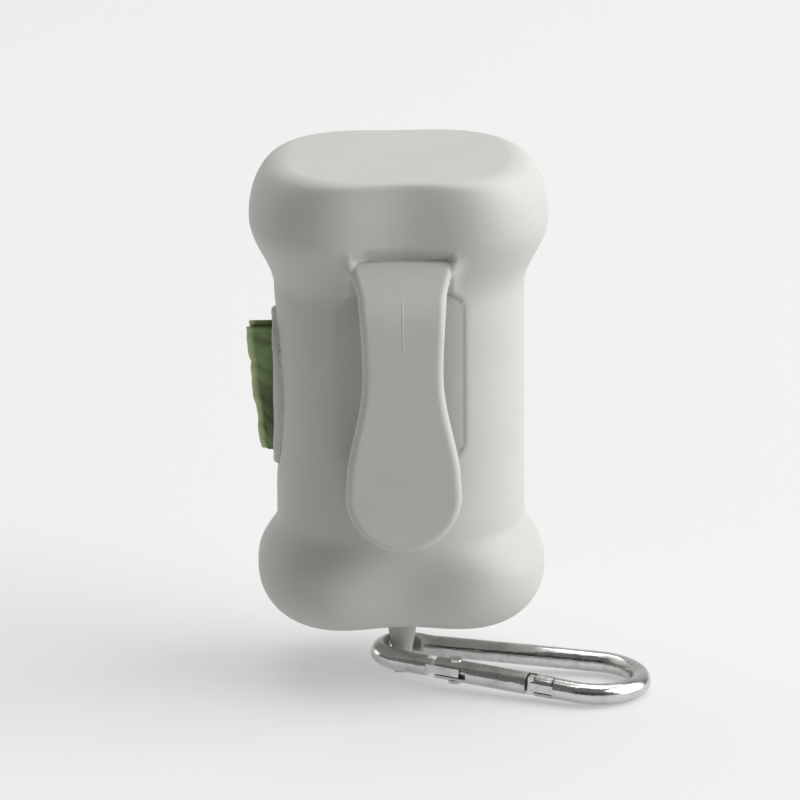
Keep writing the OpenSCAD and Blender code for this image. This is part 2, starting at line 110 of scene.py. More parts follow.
def skinOf(field, xs, ys, zs, look=None):
    # The surface where a field of x, y, z is zero. Each grid cell that it crosses gets one point, the mean
    # of the crossings on the cell's edges. Each crossed edge gets one face through the four cells round it.
    # The points are then moved along the field's slope until they lie on the surface. The slope of look,
    # where it is given, sets how they are shaded.
    axes = (np.asarray(xs), np.asarray(ys), np.asarray(zs))
    value = field(*np.meshgrid(*axes, indexing="ij"))
    count = np.zeros([n - 1 for n in value.shape])
    total = [np.zeros_like(count) for _ in range(3)]
    crossings = []
    for axis in range(3):
        low = [slice(None)] * 3
        high = [slice(None)] * 3
        low[axis] = slice(0, -1)
        high[axis] = slice(1, None)
        a = value[tuple(low)]
        b = value[tuple(high)]
        spot = np.nonzero((a < 0) != (b < 0))
        t = a[spot] / (a[spot] - b[spot])
        place = [axes[k][spot[k]] for k in range(3)]
        place[axis] = mix(axes[axis][spot[axis]], axes[axis][spot[axis] + 1], t)
        crossings.append((axis, spot, a[spot] < 0))
        others = [k for k in range(3) if k != axis]
        for da in (0, 1):
            for db in (0, 1):
                cell = list(spot)
                cell[others[0]] = spot[others[0]] - da
                cell[others[1]] = spot[others[1]] - db
                ok = np.ones(len(t), bool)
                for k in range(3):
                    ok &= (cell[k] >= 0) & (cell[k] < count.shape[k])
                cell = tuple(c[ok] for c in cell)
                np.add.at(count, cell, 1)
                for k in range(3):
                    np.add.at(total[k], cell, place[k][ok])
    used = count > 0
    number = np.full(count.shape, -1)
    number[used] = np.arange(used.sum())
    points = np.stack([total[k][used] / count[used] for k in range(3)], axis=1)
    faces = []
    for axis, spot, startsInside in crossings:
        one, two = [k for k in range(3) if k != axis]
        ring = []
        for da, db in ((1, 1), (0, 1), (0, 0), (1, 0)):
            cell = list(spot)
            cell[one] = spot[one] - da
            cell[two] = spot[two] - db
            ring.append(number[tuple(cell)])
        quad = np.stack(ring, axis=1)
        turned = startsInside if axis != 1 else ~startsInside
        quad[~turned] = quad[~turned][:, ::-1]
        faces.append(quad)
    faces = np.concatenate(faces)
    reach = skinFit["reach"] * max(np.diff(a).max() for a in axes)
    for _ in range(skinFit["rounds"]):
        g = slope(field, points)
        steep = np.maximum((g * g).sum(1), skinFit["leastSlope"])
        move = field(*points.T)[:, None] * g / steep[:, None]
        size = np.linalg.norm(move, axis=1, keepdims=True)
        points = points - move * np.minimum(1, reach / np.maximum(size, 1e-9))
    g = slope(look or field, points)
    return points, faces, g / np.maximum(np.linalg.norm(g, axis=1, keepdims=True), 1e-9)


# The sleeve is a bone of soft silicone with a bore for the roll, and the clip is moulded onto it.

sleeveShape = {
    "base": 11, "top": 94.8, "rimWidth": 1.6,
    "waistW": 44.3, "waistD": 41, "waistPower": 2.25,
    "topKnobZ": 84.6, "topKnobW": 52.9, "topKnobD": 50.2, "topBlend": 13, "topFade": 0.97,
    "topInset": 5.45, "topInsetD": 2.2, "arcEnd": 75, "arcPower": 0.9,
    "lowKnobZ": 20.2, "lowKnobW": 51.4, "lowKnobD": 46.4, "lowBlend": 9.6, "lowFade": 1.35,
    "lowInset": 9, "lowRise": 1.4, "riseWidth": 10,
    "knobPower": 2.45, "edgePower": 2.65,
    "knobDent": 3.8, "edgeDent": 1.9, "baseDent": 1, "dentWidth": 11,
    "boreR": 17, "boreHalf": 32, "boreMid": 52.9, "wellR": 12, "endWall": 4.2,
    "slotZ": 53.2, "slotL": 25, "slotW": 10, "slotPower": 2.6, "slotEdge": 2.4, "slotInX": -5,
    "lipL": 28.8, "lipW": 15.6, "lipProud": 1.85, "lipPower": 0.34, "lipInX": -8,
    "lipEnds": 1.15, "endsFrom": 5, "endsTo": 12,
    "dishDeep": 0.22, "dishWide": 0.17, "dishAt": 1.03,
    "recessW": 20.6, "recessTop": 74.6, "recessH": 30.1, "recessR": 3.4, "recessFloor": 18.88,
    "recessEdge": 1.5,
}
clipShape = {
    "top": 80.9, "slopeH": 11.5, "faceTop": 21.7, "faceOut": 27.7, "thick": 2.8, "edgeR": 1.35,
    "rootHalf": 8.2, "rootPower": 1.6, "rootFlare": 0.9, "flareFrom": 75,
    "neckHalf": 7, "neckZ": 62.05, "neckPower": 0.95, "neckEnd": 1.5,
    "endR": 10.15, "endZ": 40.05, "endTrim": 0.1, "endScale": 0.98, "joinLow": -1, "joinHigh": 5,
    "tip": 29.9, "dip": 0.8, "bowUp": 6, "dipUp": 8, "tipFlare": 0.9,
    "gapTop": 74.7, "gapR": 3.5, "ledge": 80.9, "ledgeR": 0.6, "rootIn": 18,
    "fillet": 3, "leastFillet": 0.2, "filletFrom": 7.6, "filletTo": 9.4,
    "grooveZ": 81.3, "grooveOut": 0.2, "grooveR": 1.25, "grooveInY": -12,
    "grooveX": 0.6, "grooveHalf": 6.4, "grooveFade": 4, "grooveEdge": 1.2, "leastEdge": 0.05,
    "seamOut": 22.2, "seamUp": 1.5, "seamLow": 29, "seamHalf": 11.5,
}
# past the seam each piece's field rises by the slope for the depth, so that its skin turns in there
seamRise = {"sleeve": {"depth": 4, "slope": 0.8}, "clip": {"depth": 8, "slope": 1.2}}


def boneField(x, y, z):
    # Distance outside the bone. A superellipse in plan, whose half sizes ease from the waist to each knob
    # and tuck in on a quarter arc at each end, with a dent front and back between the knobs.
    s = sleeveShape
    up = fade((s["topKnobZ"] - z) / s["topBlend"], s["topFade"])
    down = fade((z - s["lowKnobZ"]) / s["lowBlend"], s["lowFade"])
    share = np.maximum(up, down)
    arcEnd = np.radians(s["arcEnd"])
    turn = np.arcsin(np.clip((z - s["topKnobZ"]) / (s["top"] - s["topKnobZ"]), 0, 1) * np.sin(arcEnd))
    tuck = (1 - np.cos(turn) ** s["arcPower"]) / (1 - np.cos(arcEnd) ** s["arcPower"])

    def halfSize(waist, topKnob, lowKnob, inset):
        half = s[waist] / 2 + up * (s[topKnob] - s[waist]) / 2 + down * (s[lowKnob] - s[waist]) / 2
        return half - s[inset] * tuck

    halfW = halfSize("waistW", "topKnobW", "lowKnobW", "topInset")
    halfD = halfSize("waistD", "topKnobD", "lowKnobD", "topInsetD")
    hollow = np.exp(-((x / s["dentWidth"]) ** 2))
    rise = s["lowKnobZ"] - s["base"]
    low = (s["lowKnobZ"] - z) / rise
    low = low + s["lowRise"] / rise * np.exp(-((x / s["riseWidth"]) ** 2)) * np.clip(low, 0, 1)
    curve = np.sqrt(np.clip(1 - np.clip(low, 0, 1) ** 2, 0, 1))
    dent = s["knobDent"] * share
    dent = np.where(z > s["topKnobZ"], mix(s["knobDent"], s["edgeDent"], tuck), dent)
    dent = np.where(low > 0, mix(s["baseDent"], s["knobDent"], curve), dent)
    power = mix(s["waistPower"], s["knobPower"], share)
    power = np.where(z > s["topKnobZ"], mix(s["knobPower"], s["edgePower"], tuck), power)
    flatY = y / (1 - dent / halfD * hollow)
    gauge = ((np.abs(x) / halfW) ** power + (np.abs(flatY) / halfD) ** power) ** (1 / power)
    side = np.maximum(np.hypot(x, flatY), 1e-3) * (1 - 1 / np.maximum(gauge, 5e-5))
    under = (np.hypot(np.maximum(1 + side / s["lowInset"], 0), low) - 1) * s["lowInset"]
    body = np.where(low > 0, under, side)
    return softMax(body, z - s["top"], s["rimWidth"])


def lipHeight(y, z):
    # the raised oval round the slot: a flat dome over an ellipse, steep at its outline, in a shallow dish
    s = sleeveShape
    e = (y / (s["lipW"] / 2)) ** 2 + ((z - s["slotZ"]) / (s["lipL"] / 2)) ** 2
    ring = fade(np.abs(np.sqrt(e) - s["dishAt"]) / s["dishWide"])
    ring = ring * smoothStep(0.1, 0.9, np.abs(2 * y / s["lipW"]))
    proud = s["lipProud"] + s["lipEnds"] * smoothStep(s["endsFrom"], s["endsTo"], np.abs(z - s["slotZ"]))
    return proud * np.clip(1 - e, 0, 1) ** s["lipPower"] - s["dishDeep"] * ring


def sleeveWall(x, y, z):
    # the bone with its lip, recess, slot and inner space, without the clip
    s = sleeveShape
    body = boneField(x, y, z)
    body = np.where(x < s["lipInX"], body - lipHeight(y, z), body)
    half = (s["recessW"] / 2, s["recessH"] / 2)
    r = s["recessR"]
    qx = np.abs(x) - half[0] + r
    qz = np.abs(z - s["recessTop"] + half[1]) - half[1] + r
    recess = np.maximum(roundCorner(qx, qz, r), y + s["recessFloor"])
    body = softMax(body, -recess, s["recessEdge"])
    power = s["slotPower"]
    slot = np.abs(2 * y / s["slotW"]) ** power + np.abs(2 * (z - s["slotZ"]) / s["slotL"]) ** power
    slot = (slot ** (1 / power) - 1) * s["slotW"] / 2
    body = softMax(body, -np.maximum(slot, x - s["slotInX"]), s["slotEdge"])
    radius = np.hypot(x, y)
    bore = np.maximum(radius - s["boreR"], np.abs(z - s["boreMid"]) - s["boreHalf"])
    wellLow = s["base"] + s["lowRise"] + s["endWall"]
    wellHigh = s["top"] - s["endWall"]
    well = np.maximum(radius - s["wellR"], np.abs(z - (wellLow + wellHigh) / 2) - (wellHigh - wellLow) / 2)
    return np.maximum(body, -np.minimum(bore, well))


def clipFace(z):
    # how far the clip's outer face stands in front of the middle: out along a sine from the root, straight
    # down, in by the dip, and out again at the tip
    c = clipShape
    drop = (c["top"] - z) / c["slopeH"]
    start = (c["faceOut"] - c["faceTop"]) * np.pi / 2
    root = np.where(drop > 0, mix(c["faceTop"], c["faceOut"], np.sin(np.pi / 2 * np.clip(drop, 0, 1))),
                    c["faceTop"] + start * drop)
    bowZ = c["endZ"] + c["bowUp"]
    dipZ = c["tip"] + c["dipUp"]
    bow = c["faceOut"] - c["dip"] + c["dip"] * fade((bowZ - z) / (bowZ - dipZ))
    return np.where(z > bowZ, root, bow + c["tipFlare"] * np.clip((dipZ - z) / c["dipUp"], 0, 2) ** 2)


def clipOutline(x, z):
    # distance outside the clip's front outline: a neck that widens to a round spoon end
    c = clipShape
    climb = np.clip((z - c["neckZ"]) / (c["top"] - c["neckZ"]), 0, 1)
    wide = mix(c["neckHalf"], c["rootHalf"], climb ** c["rootPower"])
    wide = wide + c["rootFlare"] * smoothStep(c["flareFrom"], c["top"], z)
    ease = fade((z - c["endZ"] - c["neckEnd"]) / (c["neckZ"] - c["endZ"] - c["neckEnd"]), c["neckPower"])
    half = np.where(z > c["neckZ"], wide, mix(c["neckHalf"], c["endR"] - c["endTrim"], ease))
    side = (np.abs(x) - half) * np.where(z > c["neckZ"], 1, c["endScale"])
    circle = np.hypot(x, z - c["endZ"]) - c["endR"]
    return mix(circle, side, smoothStep(c["endZ"] + c["joinLow"], c["endZ"] + c["joinHigh"], z))


def clipBody(x, y, z):
    # the tongue and the root that joins it to the sleeve, with round edges; the lean of the face turns
    # distances along y into distances square to the face
    c = clipShape
    front = -y
    face = clipFace(z)
    step = 0.2
    lean = (clipFace(z - step) - clipFace(z + step)) / (2 * step)
    scale = 1 / np.sqrt(1 + lean * lean)
    gap = softMin((face - front) * scale - c["thick"], c["gapTop"] - z, c["gapR"])
    depth = np.maximum((front - face) * scale, gap)
    solid = roundCorner(clipOutline(x, z) + c["edgeR"], depth + c["edgeR"], c["edgeR"])
    return np.maximum(softMax(solid, z - c["ledge"], c["ledgeR"]), c["rootIn"] - front)


def mouldedField(x, y, z):
    # Sleeve and clip as they come out of the mould. The clip's sides run into the sleeve in broad fillets,
    # and a shallow round groove in the sleeve runs above the ledge of its root and fades at both ends.
    c = clipShape
    front = np.where(y < c["grooveInY"], boneField(x, y, z), farOff) - c["grooveOut"]
    share = fade((np.abs(x - c["grooveX"]) - c["grooveHalf"]) / c["grooveFade"])
    groove = np.hypot(front, z - c["grooveZ"]) - c["grooveR"] * share
    wall = softMax(sleeveWall(x, y, z), -groove, c["grooveEdge"] * share + c["leastEdge"])
    fillet = c["leastFillet"] + c["fillet"] * smoothStep(c["filletFrom"], c["filletTo"], np.abs(x))
    return softMin(wall, clipBody(x, y, z), fillet)


def clipSide(x, y, z):
    # over 0 in front of the seam that parts the clip from the sleeve, and under 0 behind it
    c = clipShape
    zone = np.minimum(np.minimum(c["top"] + c["seamUp"] - z, z - c["seamLow"]), c["seamHalf"] - np.abs(x))
    return np.minimum(-c["seamOut"] - y, zone)


def sleeveField(x, y, z):
    rise = seamRise["sleeve"]
    return mouldedField(x, y, z) + np.clip(clipSide(x, y, z), 0, rise["depth"]) * rise["slope"]


def clipField(x, y, z):
    rise = seamRise["clip"]
    return mouldedField(x, y, z) + np.clip(-clipSide(x, y, z), 0, rise["depth"]) * rise["slope"]


meshGrid = {
    "sleeve": {"step": 0.58, "span": ((-28, 28), (-27, 27), (10, 96.4))},
    "clip": {"step": 0.4, "span": ((-16, 16), (-30, -14), (24, 88))},
    "lug": {"step": 0.28, "span": ((-5, 5), (-9, 9), (-0.5, 14.9))},
}


def gridOf(name):
    # the grid's lines along x, y and z, as near to a step apart as fills the span
    grid = meshGrid[name]
    return [np.linspace(low, high, int(round((high - low) / grid["step"])) + 1) for low, high in grid["span"]]


points, faces, normals = skinOf(sleeveField, *gridOf("sleeve"), mouldedField)
sleeve = addObject("sleeveMoulding", points, faces, normals)
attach(sleeve, "sleeve")
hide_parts("sleeve")
print("sleeve:", 2 * len(faces), "triangles")

points, faces, normals = skinOf(clipField, *gridOf("clip"), mouldedField)
clip = addObject("beltClipTongue", points, faces, normals)
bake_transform(clip)
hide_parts("belt_clip")
print("clip:", 2 * len(faces), "triangles")


# The hanging lug under the sleeve.

lugShape = {
    "halfW": 1.65, "halfD": 5.1, "holeR": 3.3, "holeZ": 4.5, "cornerR": 1.6, "edgeWidth": 0.7, "fillet": 2.2,
    "flare": 1.15, "flareFrom": 2, "flareTo": 11.4,
    "rootHalf": 3.45, "rootR": 4.2, "rootTop": 14.1, "rootEdge": 0.4,
}


def lugBody(x, y, z):
    # an upright stadium with a round hole through it, wider toward the sleeve, its lower corners rounded
    g = lugShape
    plan = np.hypot(x, np.maximum(np.abs(y) - g["halfD"] + g["halfW"], 0)) - g["halfW"]
    plan = plan - g["flare"] * smoothStep(g["flareFrom"], g["flareTo"], z)
    qy = np.abs(y) - g["halfD"] + g["cornerR"]
    qz = g["cornerR"] - z
    foot = np.where(qz > 0, roundCorner(qy, qz, g["cornerR"]), -farOff)
    solid = softMax(plan, foot, g["edgeWidth"])
    hole = np.hypot(y, z - g["holeZ"]) - g["holeR"]
    return softMax(solid, -hole, g["edgeWidth"])


def lugField(x, y, z):
    # the lug flows into the sleeve with a fillet, and dives under the sleeve's skin beyond it
    g = lugShape
    joined = softMin(lugBody(x, y, z), boneField(x, y, z), g["fillet"])
    beyond = np.hypot(x, np.maximum(np.abs(y) - g["rootHalf"], 0)) - g["rootR"]
    return softMax(joined, np.maximum(beyond, z - g["rootTop"]), g["rootEdge"])


points, faces, normals = skinOf(lugField, *gridOf("lug"))
lug = addObject("hangLug", points, faces, normals)
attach(lug, "sleeve")
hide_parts("hang_lug")
print("lug:", 2 * len(faces), "triangles")


# The folded end of the first bag, and the web that runs from it to the roll.

filmShape = {
    "tall": 22.8, "sheet": 0.22, "out": 27.3, "inX": 20.2, "wrinkle": 0.09, "raise": 0.7, "slant": 0.4,
    "webTrim": 1.0, "rollR": 16.45, "rollAngles": (30.5, 6.9), "lead": ((-16.6, -3.0), (-17.6, -2.75)),
    "leadX": -18.8, "leadGap": 0.1, "along": 150, "across": 90,
    "foldHighlightFrom": 1.1, "foldHighlightTo": 0.55, "tipFrom": 23.4, "tipTo": 0.9,
    "rippleX": (19, 26), "slantX": (20, 27.4), "raiseX": (19.5, 21.5), "webX": (19.5, 17),
    "edgeZ": (41.9, 45, 48.8, 53.4, 58.2, 58.8, 64.4), "edgeIn": (2.5, 2, 1.8, 0.9, 0.8, 0.45, 0),
}
# the two folded sheets, one inside the other; the web to the roll hangs on the outer one
outerFold = {"front": -2.45, "back": -1.55, "short": 0, "lift": 0.9, "cut": 0, "withWeb": True}
innerFold = {"front": -1.25, "back": -0.75, "short": 0.7, "lift": 0, "cut": 0.6, "withWeb": False}


def ribbon(path, low, high, sheet, across, ripple):
    # A standing strip. Its middle surface is the path in plan times the height between low and high,
    # moved sideways by the ripple. The two faces lie half a sheet to each side, and rims close them.
    along = np.gradient(path, axis=0)
    side = np.stack([-along[:, 1], along[:, 0]], axis=1)
    side /= np.linalg.norm(side, axis=1, keepdims=True)
    v = np.linspace(0, 1, across)
    z = low[:, None] + (high - low)[:, None] * v[None, :]
    move = ripple(path[:, 0][:, None] + 0 * z, z)
    middle = path[:, None, :] + side[:, None, :] * move[:, :, None]
    grids = [np.concatenate([middle + side[:, None, :] * k * sheet / 2, z[:, :, None]], axis=2)
             for k in (1, -1)]
    n, m = z.shape
    points = np.concatenate([g.reshape(-1, 3) for g in grids])
    i, j = np.meshgrid(np.arange(n - 1), np.arange(m - 1), indexing="ij")
    a = (i * m + j).ravel()
    faces = [np.stack([a, a + 1, a + m + 1, a + m], 1), np.stack([a, a + m, a + m + 1, a + 1], 1) + n * m]
    edge = np.concatenate([np.arange(n - 1) * m, (n - 1) * m + np.arange(m - 1),
                           np.arange(n - 1, 0, -1) * m + m - 1, np.arange(m - 1, 0, -1)])
    after = np.roll(edge, -1)
    faces.append(np.stack([edge, edge + n * m, after + n * m, after], 1)[:, ::-1])
    return points, np.concatenate(faces)


def foldPath(front, back, inX, outX, points=60):
    # from the far side of the bore out along the front run, round a small half circle, and back along the
    # back run to inX
    r = (back - front) / 2
    turn = np.linspace(-np.pi / 2, -3 * np.pi / 2, 13)
    run = np.linspace(inX, -outX + r, points)
    bend = np.stack([-outX + r + r * np.cos(turn), (front + back) / 2 + r * np.sin(turn)], 1)
    home = np.stack([np.linspace(-outX + r, -inX, 30), np.full(30, back)], 1)
    return np.concatenate([np.stack([run, np.full(points, front)], 1), bend[1:-1], home])


def filmRipple(x, z):
    # creases across the film's end that fade toward the slot
    f = filmShape
    far = smoothStep(*f["rippleX"], -x)
    wave = np.sin(z * 1.15 + 0.9 * np.sin(z * 0.31 + 1.1) + 0.25 * x) + 0.6 * np.sin(z * 2.3 + x * 1.1 + 0.7)
    return f["wrinkle"] * far * wave


def filmEnds(path, fold):
    # lower and upper edge heights: the lower edge slants up toward the tip, the upper edge stands a little
    # higher outside the slot, and both draw in toward the web
    f = filmShape
    out = -path[:, 0]
    far = smoothStep(*f["slantX"], out)
    mid = sleeveShape["slotZ"]
    low = mid - f["tall"] / 2 + f["slant"] * far + fold["cut"]
    high = mid + f["tall"] / 2 + f["raise"] * smoothStep(*f["raiseX"], out) - fold["lift"]
    trim = f["webTrim"] * smoothStep(*f["webX"], out)
    return low + trim, high - trim


def filmFold(fold):
    # a ribbon along the fold's path, which is cut into even steps first
    f = filmShape
    outX = f["out"] - fold["short"]
    path = foldPath(fold["front"], fold["back"], f["inX"], outX)
    if fold["withWeb"]:
        wrap = np.radians(180 + np.linspace(*f["rollAngles"], 16))
        roller = np.stack([f["rollR"] * np.cos(wrap), f["rollR"] * np.sin(wrap)], 1)
        lead = np.array([*f["lead"], (f["leadX"], fold["front"] - f["leadGap"])])
        path = np.concatenate([roller, lead, path])
    steps = np.concatenate([[0], np.cumsum(np.linalg.norm(np.diff(path, axis=0), axis=1))])
    even = np.linspace(0, steps[-1], f["along"])
    path = np.stack([np.interp(even, steps, path[:, k]) for k in range(2)], axis=1)
    low, high = filmEnds(path, fold)
    points, faces = ribbon(path, low, high, f["sheet"], f["across"], filmRipple)
    # the folded edge is 1 in the painted highlight along it; it slants in toward its lower end, with small
    # kinks
    foldHighlight = smoothStep(outX - f["foldHighlightFrom"], outX - f["foldHighlightTo"], -points[:, 0])
    tip = smoothStep(f["tipFrom"], outX - f["tipTo"], -points[:, 0])
    points[:, 0] += tip * np.interp(points[:, 2], f["edgeZ"], f["edgeIn"])
    return points, faces, foldHighlight


outer, outerFaces, outerFoldHighlight = filmFold(outerFold)
inner, innerFaces, innerFoldHighlight = filmFold(innerFold)
film = addObject("foldedBags", np.concatenate([outer, inner]),
                 np.concatenate([outerFaces, innerFaces + len(outer)]))
# each point's share of the painted highlight along the folded edge
foldHighlightShare = film.data.attributes.new("foldHighlight", "FLOAT", "POINT")
foldHighlightShare.data.foreach_set("value", np.concatenate([outerFoldHighlight, innerFoldHighlight]))
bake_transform(film)
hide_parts("film_web", "lead_bag")
print("film:", 2 * len(film.data.polygons), "triangles")


# Materials: one function for each, with its colours in a dictionary above it.

class Wire:
    # one output of a material's node; + - * ** with numbers or other wires add Math nodes
    def __init__(self, tree, socket):
        self.tree = tree
        self.socket = socket

    def node(self, kind, settings=(), inputs=(), output=0):
        made = self.tree.nodes.new(kind)
        for key, setting in dict(settings).items():
            setattr(made, key, setting)
        for key, given in dict(inputs).items():
            if isinstance(given, Wire):
                self.tree.links.new(given.socket, made.inputs[key])
            else:
                made.inputs[key].default_value = given
        return Wire(self.tree, made.outputs[output])

    def math(self, operation, a=None, b=0.0):
        # one Math node on this wire, or on a and b where they are given
        return self.node("ShaderNodeMath", {"operation": operation}, {0: self if a is None else a, 1: b})

    def __add__(self, other): return self.math("ADD", self, other)
    def __radd__(self, other): return self.math("ADD", other, self)
    def __sub__(self, other): return self.math("SUBTRACT", self, other)
    def __rsub__(self, other): return self.math("SUBTRACT", other, self)
    def __mul__(self, other): return self.math("MULTIPLY", self, other)
    def __rmul__(self, other): return self.math("MULTIPLY", other, self)
    def __pow__(self, other): return self.math("POWER", self, other)

    def between(self, low, high):
        # 0 below low, 1 above high, smooth in between
        return self.node("ShaderNodeMapRange", {"interpolation_type": "SMOOTHSTEP"},
                         {"Value": self, "From Min": low, "From Max": high})

    def tint(self, a, b):
        # colour a where this is 0, colour b where it is 1
        return self.node("ShaderNodeMix", {"data_type": "RGBA"}, {0: self, 6: a, 7: b}, 2)


def newMaterial(name, constants):
    # a material with its Principled shader, and the wires for object coordinates and their parts
    material = bpy.data.materials.new(name)
    material.use_nodes = True
    shader = material.node_tree.nodes["Principled BSDF"]
    for key, value in constants.items():
        shader.inputs[key].default_value = value
    start = Wire(material.node_tree, None)
    place = start.node("ShaderNodeTexCoord", output=3)
    parts = {}
    for axis, letter in enumerate("xyz"):
        parts[letter] = start.node("ShaderNodeSeparateXYZ", (), {0: place}, axis)
    return material, shader, place, parts


def feed(shader, **wires):
    names = {"color": "Base Color", "rough": "Roughness", "normal": "Normal"}
    for key, wire in wires.items():
        shader.id_data.links.new(wire.socket, shader.inputs[names[key]])


def noise(place, scale, detail=3.0, rough=0.5, stretch=None):
    if stretch:
        place = place.node("ShaderNodeMapping", (), {"Vector": place, "Scale": stretch})
    return place.node("ShaderNodeTexNoise", (), {"Vector": place, "Scale": scale, "Detail": detail,
                                                 "Roughness": rough})


def bump(height, strength, distance, under=None):
    inputs = {"Strength": strength, "Distance": distance, "Height": height}
    if under:
        inputs["Normal"] = under
    return height.node("ShaderNodeBump", (), inputs)


siliconeLook = {
    "color": (0.49, 0.487, 0.462, 1), "dark": (0.465, 0.462, 0.437, 1), "rough": 0.5,
    "cloudScale": 60, "grainScale": 5200, "poreScale": 1500, "grain": 0.06, "bumpDeep": 0.0002,
    "lineLow": 0.066, "lineHigh": 0.0765, "lineHalf": 0.0001, "lineSoft": 0.00006,
    "lineHighlightColor": (0.70, 0.70, 0.68, 1), "lineHighlightShare": 0.35, "lineBump": 0.7,
}


def siliconeMaterial(name, withLine=False):
    look = siliconeLook
    material, shader, place, p = newMaterial(name, {"IOR": 1.42, "Specular IOR Level": 0.45})
    cloud = noise(place, look["cloudScale"], 4, 0.6).between(0.3, 0.72)
    grain = noise(place, look["grainScale"], 2, 0.5)
    pores = noise(place, look["poreScale"], 3, 0.6)
    color = cloud.tint(look["dark"], look["color"])
    rough = look["rough"] + (cloud - 0.5) * 0.06 + (pores - 0.5) * 0.08
    normal = bump(grain * 0.6 + pores * 0.4, look["grain"], look["bumpDeep"])
    if withLine:
        # the thin raised line that the mould's joint leaves down the middle of the clip, with a painted
        # highlight: its colour is lighter along the ridge
        half, soft = look["lineHalf"], look["lineSoft"]
        line = 1 - p["x"].math("ABSOLUTE").between(half - soft, half + soft)
        line = line * p["z"].between(look["lineLow"] - 0.0002, look["lineLow"] + 0.0004)
        line = line * (1 - p["z"].between(look["lineHigh"] - 0.005, look["lineHigh"]))
        color = (line * look["lineHighlightShare"]).tint(color, look["lineHighlightColor"])
        normal = bump(line, look["lineBump"], look["bumpDeep"], normal)
    feed(shader, color=color, rough=rough, normal=normal)
    return material


filmLook = {
    "light": (0.19, 0.275, 0.095, 1), "dark": (0.07, 0.12, 0.028, 1), "foldHighlight": (0.46, 0.55, 0.28, 1),
    "rough": 0.38, "windings": 9000, "shadeBandLow": (0.0448, 0.0478), "shadeBandHigh": (0.05, 0.0535),
}


def filmMaterial(name, rolled=False):
    look = filmLook
    material, shader, place, p = newMaterial(name, {"IOR": 1.5, "Specular IOR Level": 0.5})
    if rolled:
        # windings on the ends of the roll, and lengthwise creases round it; the colour follows the creases,
        # darker in their hollows as painted shade
        radius = (p["x"] * p["x"] + p["y"] * p["y"]) ** 0.5
        rings = (radius * look["windings"] + noise(place, 90, 2) * 3).math("SINE")
        creases = noise(place, 160, 4, 0.6, (1, 1, 0.12))
        height = rings * 0.4 + creases
        color = (rings * 0.25 + creases.between(0.35, 0.7) * 0.75).tint(look["dark"], look["light"])
        feed(shader, color=color, normal=bump(height, 0.35, 0.0004), rough=creases * 0.2 + look["rough"])
        return material
    # creases across the folded end; the colour differs at random, with painted shade in the crease hollows
    # and in a band low on the end, and a painted highlight along the folded edge
    creases = noise(place, 210, 4, 0.62, (1.0, 1, 0.8))
    broad = noise(place, 85, 2, 0.5, (0.5, 1, 1.2))
    fine = noise(place, 900, 3, 0.55)
    shade = (broad * 0.65 + creases * 0.35).between(0.36, 0.62)
    # painted shade: a darker band low on the end
    shade = shade * (1 - p["z"].between(*look["shadeBandLow"]) * (1 - p["z"].between(*look["shadeBandHigh"])))
    foldHighlight = place.node("ShaderNodeAttribute", {"attribute_name": "foldHighlight"}, (), 2)
    color = foldHighlight.tint(shade.tint(look["dark"], look["light"]), look["foldHighlight"])
    feed(shader, color=color, rough=look["rough"] + (creases - 0.5) * 0.25,
         normal=bump(creases + fine * 0.15, 0.5, 0.0006))
    return material


cardLook = {"light": (0.40, 0.28, 0.17, 1), "dark": (0.27, 0.18, 0.10, 1)}


def cardMaterial(name):
    material, shader, place, p = newMaterial(name, {"Specular IOR Level": 0.25, "Roughness": 0.85})
    fibres = noise(place, 420, 4, 0.6, (1, 1, 0.3))
    seams = (p["z"] * 330 + p["x"] * 260).math("SINE")
    color = (fibres * 0.75 + seams.between(0.9, 1.0) * 0.25).tint(cardLook["dark"], cardLook["light"])
    feed(shader, color=color, normal=bump(fibres, 0.4, 0.0003))
    return material


steelLook = {"color": (0.66, 0.66, 0.65, 1), "dull": (0.50, 0.50, 0.49, 1)}


def steelMaterial(name, rough=0.17, tone=1.0):
    # nickel-plated wire: bright, with fine draw lines, soft stains and a few pits
    look = steelLook
    material, shader, place, _ = newMaterial(name, {"Metallic": 1.0})
    lines = noise(place, 1400, 3, 0.6, (0.12, 1, 1))
    stains = noise(place, 260, 4, 0.65)
    pits = noise(place, 2400, 2, 0.5).between(0.70, 0.78)
    light = tuple(c * tone for c in look["color"][:3]) + (1,)
    dull = tuple(c * tone for c in look["dull"][:3]) + (1,)
    color = stains.between(0.42, 0.7).tint(light, dull)
    feed(shader, color=color, rough=rough + (stains - 0.5) * 0.16 + (lines - 0.5) * 0.1 + pits * 0.15,
         normal=bump(lines * 0.5 + stains * 0.7 - pits * 0.6, 0.3, 0.0003))
    return material


def paint(obj, material):
    obj.data.materials.clear()
    obj.data.materials.append(material)


silicone = siliconeMaterial("softSilicone")
paint(sleeve, silicone)
paint(lug, silicone)
paint(clip, siliconeMaterial("softSiliconeClip", True))
paint(film, filmMaterial("foldedFilm"))
paint(nodes["bag_roll"], filmMaterial("rolledFilm", True))
paint(nodes["roll_core"], cardMaterial("coreCard"))
paint(nodes["hook_wire"], steelMaterial("platedWire"))
paint(nodes["gate"], steelMaterial("platedGate", 0.19, 0.96))
paint(nodes["hinge_rivet"], steelMaterial("rivetSteel", 0.24, 0.9))
paint(nodes["gate_spring"], steelMaterial("springSteel", 0.3, 0.7))
paint(nodes["spring_plunger"], steelMaterial("plungerSteel", 0.26, 0.8))
print("materials done")


# Floor, lights and camera.

